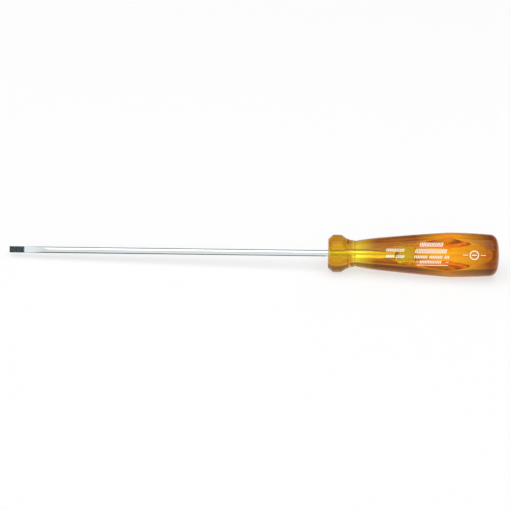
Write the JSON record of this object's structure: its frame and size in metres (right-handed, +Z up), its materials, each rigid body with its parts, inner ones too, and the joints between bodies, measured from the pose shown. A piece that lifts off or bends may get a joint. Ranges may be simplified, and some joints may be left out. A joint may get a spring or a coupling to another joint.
{
  "type": "slotted screwdriver",
  "caption": "Slotted screwdriver with a long slim round plated blade, a parallel black tip and a transparent amber three-flatted handle with a collar at the nose.",
  "frame": {"origin": "centre of the blade's end face, on the tool's axis", "axes": "+X along the blade towards the handle; +Z up, square to one plain flat, which faces down; the marked flat and one wide face of the tip look towards -Y, 30 degrees above level"},
  "size_m": [0.2341, 0.0214, 0.0209],
  "materials": {
    "plated_steel": "bright plated chrome-vanadium steel, fine drawn lines along the shaft; the last 7 mm at the tip is ground and blackened",
    "amber_plastic": "transparent amber cellulose acetate, polished, with white stamped marks on one flat"
  },
  "bodies": {
    "root": {"blade": "plated_steel", "handle": "amber_plastic"}
  },
  "joints": []
}
